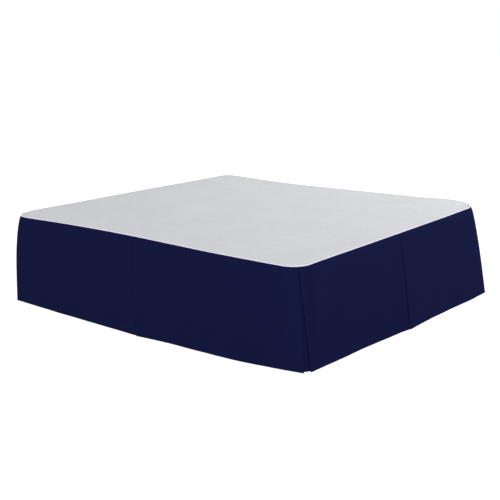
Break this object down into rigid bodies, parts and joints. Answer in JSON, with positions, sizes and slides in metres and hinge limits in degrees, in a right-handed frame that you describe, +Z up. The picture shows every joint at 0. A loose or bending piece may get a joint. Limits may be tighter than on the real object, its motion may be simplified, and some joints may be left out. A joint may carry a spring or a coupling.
{
  "type": "bed skirt on box spring",
  "caption": "Pale deck cloth over a box spring with navy drops to the floor on the sides and foot end, inverted centre pleats and split foot corners backed by inserts.",
  "frame": {"origin": "on the floor, under the middle of the whole: hems and legs stand at Z 0", "axes": "+X towards the foot end of the bed, +Y towards the long side that the picture hides, +Z up"},
  "size_m": [2.126, 2.0284, 0.508],
  "materials": {
    "skirt_cloth": "matt close-woven navy cloth",
    "deck_cloth": "matt pale grey-white platform cloth",
    "box_spring_cover": "plain off-white ticking",
    "leg_wood": "satin brown wood"
  },
  "bodies": {
    "root": {"deck": "deck_cloth", "near_side_drop": "skirt_cloth", "foot_end_drop": "skirt_cloth", "far_side_drop": "skirt_cloth", "near_corner_insert": "skirt_cloth", "far_corner_insert": "skirt_cloth", "box_spring": "box_spring_cover", "leg_near_head": "leg_wood", "leg_near_middle": "leg_wood", "leg_near_foot": "leg_wood", "leg_far_head": "leg_wood", "leg_far_middle": "leg_wood", "leg_far_foot": "leg_wood"}
  },
  "joints": []
}
